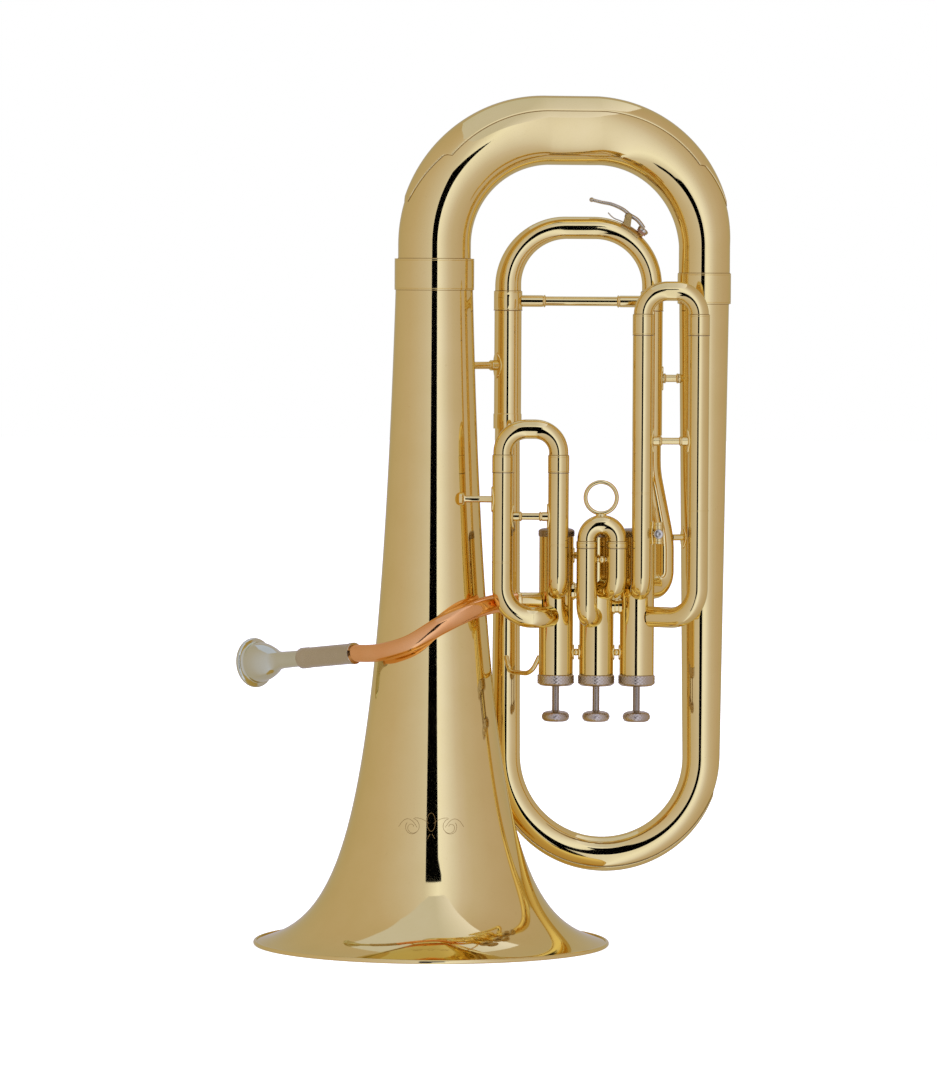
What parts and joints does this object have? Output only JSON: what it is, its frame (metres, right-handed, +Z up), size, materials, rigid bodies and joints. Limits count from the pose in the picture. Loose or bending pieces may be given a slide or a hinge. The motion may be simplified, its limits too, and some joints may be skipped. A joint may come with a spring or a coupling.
{
  "type": "euphonium",
  "caption": "Brass euphonium that stands on its bell, with sprung piston valves, drawing slides, a sprung water key and a removable mouthpiece.",
  "frame": {"origin": "centre of the plane that the bell rim rests on", "axes": "+Z up along the bell axis, +X from the bell towards the big branch, -Y the side with the valve slides"},
  "size_m": [0.3902, 0.28, 0.6671],
  "materials": {
    "lacquered_brass": "polished clear lacquer",
    "copper_pipe": "polished clear lacquer over rose brass",
    "nickel_silver": "polished nickel silver",
    "silver_plate": "polished silver plate",
    "felt": "matt felt",
    "cork": "matt cork",
    "spring_steel": "bright wire"
  },
  "bodies": {
    "horn": {"bell": "lacquered_brass", "bell_rim_bead": "lacquered_brass", "bell_ferrule": "lacquered_brass", "top_bow": "lacquered_brass", "top_bow_guard": "lacquered_brass", "branch_ferrule": "lacquered_brass", "big_branch": "lacquered_brass", "bottom_bow": "lacquered_brass", "bottom_bow_guard": "lacquered_brass", "small_branch": "lacquered_brass", "tuning_sleeves": "lacquered_brass", "valve_outlet_tube": "lacquered_brass", "valve_casing_1": "lacquered_brass", "valve_casing_2": "lacquered_brass", "valve_casing_3": "lacquered_brass", "top_caps": "nickel_silver", "bottom_caps": "nickel_silver", "cap_felts": "felt", "valve_knuckles": "lacquered_brass", "casing_braces": "lacquered_brass", "first_slide_sleeves": "lacquered_brass", "second_slide_sleeves": "lacquered_brass", "third_slide_sleeves": "lacquered_brass", "slide_braces": "lacquered_brass", "leadpipe": "copper_pipe", "leadpipe_socket": "lacquered_brass", "mouthpiece_receiver": "nickel_silver", "bell_braces": "lacquered_brass", "branch_braces": "lacquered_brass", "thumb_hook": "lacquered_brass", "lyre_socket": "lacquered_brass", "valve_spring_1": "spring_steel", "valve_spring_2": "spring_steel", "valve_spring_3": "spring_steel"},
    "tuning_slide": {"tuning_crook": "lacquered_brass", "tuning_inner_tubes": "nickel_silver", "tuning_ferrules": "lacquered_brass", "tuning_brace": "lacquered_brass", "water_key_saddle": "nickel_silver", "water_key_spring": "spring_steel"},
    "water_key": {"water_key": "nickel_silver", "water_key_cork": "cork"},
    "first_slide": {"first_slide_crook": "lacquered_brass", "first_slide_inner_tubes": "nickel_silver", "first_slide_ferrules": "lacquered_brass"},
    "second_slide": {"second_slide_crook": "lacquered_brass", "second_slide_inner_tubes": "nickel_silver", "second_slide_ferrules": "lacquered_brass", "pull_ring": "lacquered_brass"},
    "third_slide": {"third_slide_crook": "lacquered_brass", "third_slide_inner_tubes": "nickel_silver", "third_slide_ferrules": "lacquered_brass"},
    "valve_1": {"piston_1": "nickel_silver", "finger_button_1": "nickel_silver"},
    "valve_2": {"piston_2": "nickel_silver", "finger_button_2": "nickel_silver"},
    "valve_3": {"piston_3": "nickel_silver", "finger_button_3": "nickel_silver"},
    "mouthpiece": {"mouthpiece": "silver_plate"},
    "lyre_screw": {"lyre_screw": "nickel_silver"}
  },
  "joints": [
    {"name": "tuning_slide_draw", "type": "slide", "parent": "horn", "child": "tuning_slide", "axis": [0, 0, 1], "range_m": [0, 0.02]},
    {"name": "water_key_press", "type": "hinge", "parent": "tuning_slide", "child": "water_key", "pos_m": [0.15274, 0.038, 0.57283], "axis": [0, -1, 0], "range_deg": [0, 14], "stiffness_Nm_per_rad": 0.05, "springref_deg": -20.05},
    {"name": "first_slide_draw", "type": "slide", "parent": "horn", "child": "first_slide", "axis": [0, 0, 1], "range_m": [0, 0.05]},
    {"name": "second_slide_draw", "type": "slide", "parent": "horn", "child": "second_slide", "axis": [0, 0, 1], "range_m": [0, 0.014]},
    {"name": "third_slide_draw", "type": "slide", "parent": "horn", "child": "third_slide", "axis": [0, 0, 1], "range_m": [0, 0.08]},
    {"name": "valve_1_press", "type": "slide", "parent": "horn", "child": "valve_1", "axis": [0, 0, 1], "range_m": [0, 0.018], "stiffness_N_per_m": 130, "springref_m": -0.018, "deforming": ["valve_spring_1"]},
    {"name": "valve_2_press", "type": "slide", "parent": "horn", "child": "valve_2", "axis": [0, 0, 1], "range_m": [0, 0.018], "stiffness_N_per_m": 130, "springref_m": -0.018, "deforming": ["valve_spring_2"]},
    {"name": "valve_3_press", "type": "slide", "parent": "horn", "child": "valve_3", "axis": [0, 0, 1], "range_m": [0, 0.018], "stiffness_N_per_m": 130, "springref_m": -0.018, "deforming": ["valve_spring_3"]},
    {"name": "mouthpiece_pull", "type": "slide", "parent": "horn", "child": "mouthpiece", "axis": [-0.7026, 0.7026, -0.1132], "range_m": [0, 0.03]},
    {"name": "lyre_screw_turn", "type": "hinge", "parent": "horn", "child": "lyre_screw", "pos_m": [0.1756, -0.0362, 0.3256], "axis": [0, -1, 0], "continuous": true}
  ]
}
